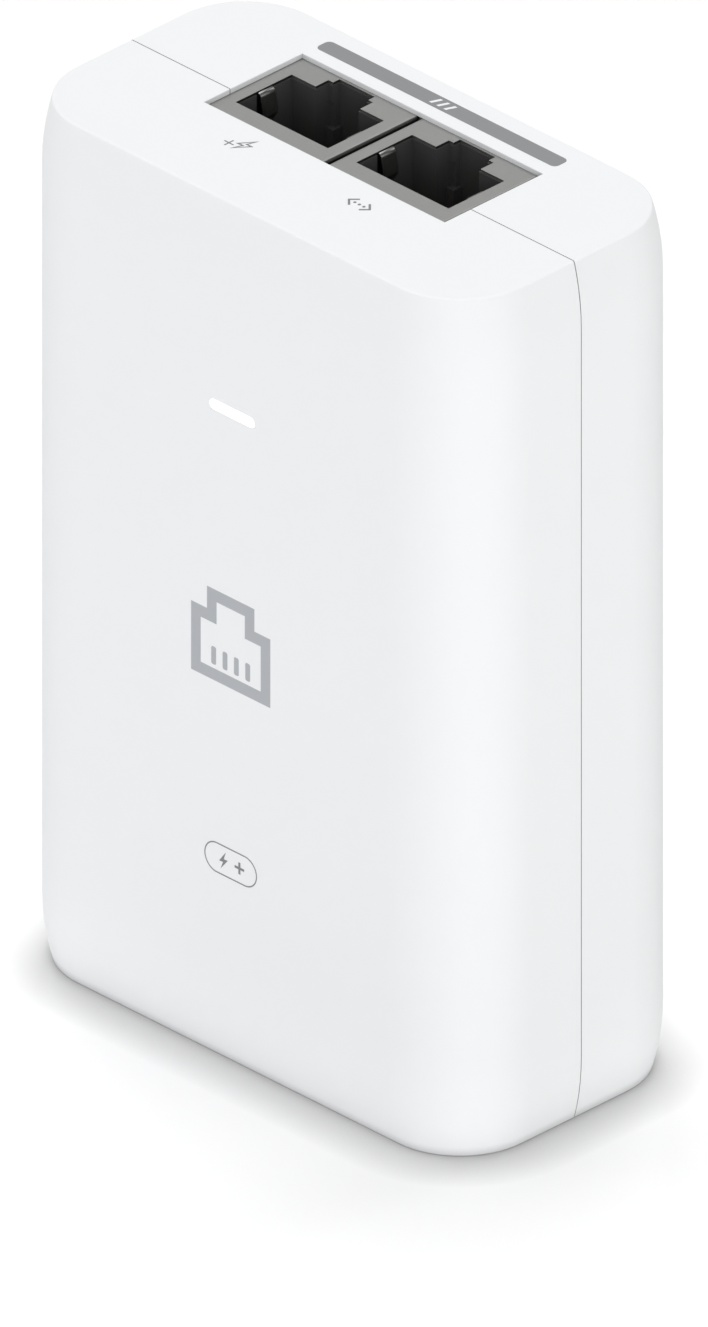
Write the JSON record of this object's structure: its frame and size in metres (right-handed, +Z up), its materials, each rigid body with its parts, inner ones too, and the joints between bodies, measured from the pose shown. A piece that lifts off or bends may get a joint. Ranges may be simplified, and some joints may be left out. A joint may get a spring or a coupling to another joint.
{
  "type": "poe injector",
  "caption": "Compact upright wall-adapter style box with rounded sides, two network sockets in its top, a mains inlet underneath and a small status light in front.",
  "frame": {"origin": "middle of the flat bottom face", "axes": "+Z up, towards the network sockets; +Y to the rear, -Y is the face with the status light; +X to the right seen from the front"},
  "size_m": [0.0604, 0.032, 0.092],
  "materials": {
    "casing_plastic": "fine satin moulded white plastic",
    "label_film": "blank satin film label",
    "lens_plastic": "milky lens, lit white",
    "pipe_plastic": "clear moulded light pipe",
    "jack_nickel": "nickel-plated sheet, satin",
    "jack_plastic": "black glass-filled moulding",
    "contact_gold": "gold-plated spring wire",
    "inlet_plastic": "black moulding",
    "pin_nickel": "nickel-plated brass pins",
    "board_laminate": "green solder mask on glass laminate",
    "screw_steel": "zinc-plated steel",
    "insulation_film": "thin insulating film",
    "fuse_plastic": "black fuse cap",
    "capacitor_yellow": "yellow film-capacitor box",
    "component_black": "black epoxy package",
    "varistor_blue": "blue dipped coating",
    "thermistor_black": "dark dipped coating",
    "capacitor_sleeve": "dark sleeve on an aluminium can",
    "ferrite": "sintered ferrite",
    "copper_wire": "enamelled copper wire",
    "winding_tape": "yellow polyester tape",
    "bobbin_plastic": "phenolic bobbin",
    "sink_aluminium": "bare aluminium plate",
    "pad_rubber": "soft gap-filling pad",
    "led_white": "white light-emitting diode"
  },
  "bodies": {
    "injector": {"front_shell": "casing_plastic", "rear_shell": "casing_plastic", "rating_label": "label_film", "light_lens": "lens_plastic", "light_pipe": "pipe_plastic", "poe_jack_shield": "jack_nickel", "poe_jack_housing": "jack_plastic", "poe_jack_contact_leads": "contact_gold", "data_jack_shield": "jack_nickel", "data_jack_housing": "jack_plastic", "data_jack_contact_leads": "contact_gold", "inlet_housing": "inlet_plastic", "inlet_pins": "pin_nickel", "main_board": "board_laminate", "board_screws": "screw_steel", "insulation_sheet": "insulation_film", "insulation_barrier": "insulation_film", "fuse": "fuse_plastic", "x_capacitor": "capacitor_yellow", "bridge_rectifier": "component_black", "switching_transistor": "component_black", "output_rectifier": "component_black", "optocoupler": "component_black", "switching_controller": "component_black", "poe_controller": "component_black", "poe_magnetics": "component_black", "surge_suppressor": "component_black", "varistor": "varistor_blue", "y_capacitor": "varistor_blue", "thermistor": "thermistor_black", "bulk_capacitor": "capacitor_sleeve", "output_capacitor_left": "capacitor_sleeve", "output_capacitor_right": "capacitor_sleeve", "line_choke_core": "ferrite", "transformer_core": "ferrite", "output_choke": "ferrite", "line_choke_winding": "copper_wire", "transformer_winding": "winding_tape", "transformer_bobbin": "bobbin_plastic", "primary_heatsink": "sink_aluminium", "secondary_heatsink": "sink_aluminium", "thermal_pad": "pad_rubber", "status_led": "led_white"},
    "poe_contact_springs": {"poe_jack_contact_springs": "contact_gold"},
    "poe_finger_left": {"poe_jack_finger_left": "jack_nickel"},
    "poe_finger_right": {"poe_jack_finger_right": "jack_nickel"},
    "data_contact_springs": {"data_jack_contact_springs": "contact_gold"},
    "data_finger_left": {"data_jack_finger_left": "jack_nickel"},
    "data_finger_right": {"data_jack_finger_right": "jack_nickel"}
  },
  "joints": [
    {"name": "poe_contact_flex", "type": "hinge", "parent": "injector", "child": "poe_contact_springs", "pos_m": [-0.00865, -0.00158, 0.0901], "axis": [-1, 0, 0], "range_deg": [0, 10], "stiffness_Nm_per_rad": 0.02},
    {"name": "poe_finger_left_flex", "type": "hinge", "parent": "injector", "child": "poe_finger_left", "pos_m": [-0.01465, 0.00306, 0.09124], "axis": [0, 1, 0], "range_deg": [0, 8], "stiffness_Nm_per_rad": 0.005},
    {"name": "poe_finger_right_flex", "type": "hinge", "parent": "injector", "child": "poe_finger_right", "pos_m": [-0.00265, 0.00306, 0.09124], "axis": [0, -1, 0], "range_deg": [0, 8], "stiffness_Nm_per_rad": 0.005},
    {"name": "data_contact_flex", "type": "hinge", "parent": "injector", "child": "data_contact_springs", "pos_m": [0.00728, -0.00158, 0.0901], "axis": [-1, 0, 0], "range_deg": [0, 10], "stiffness_Nm_per_rad": 0.02},
    {"name": "data_finger_left_flex", "type": "hinge", "parent": "injector", "child": "data_finger_left", "pos_m": [0.00128, 0.00306, 0.09124], "axis": [0, 1, 0], "range_deg": [0, 8], "stiffness_Nm_per_rad": 0.005},
    {"name": "data_finger_right_flex", "type": "hinge", "parent": "injector", "child": "data_finger_right", "pos_m": [0.01328, 0.00306, 0.09124], "axis": [0, -1, 0], "range_deg": [0, 8], "stiffness_Nm_per_rad": 0.005}
  ]
}
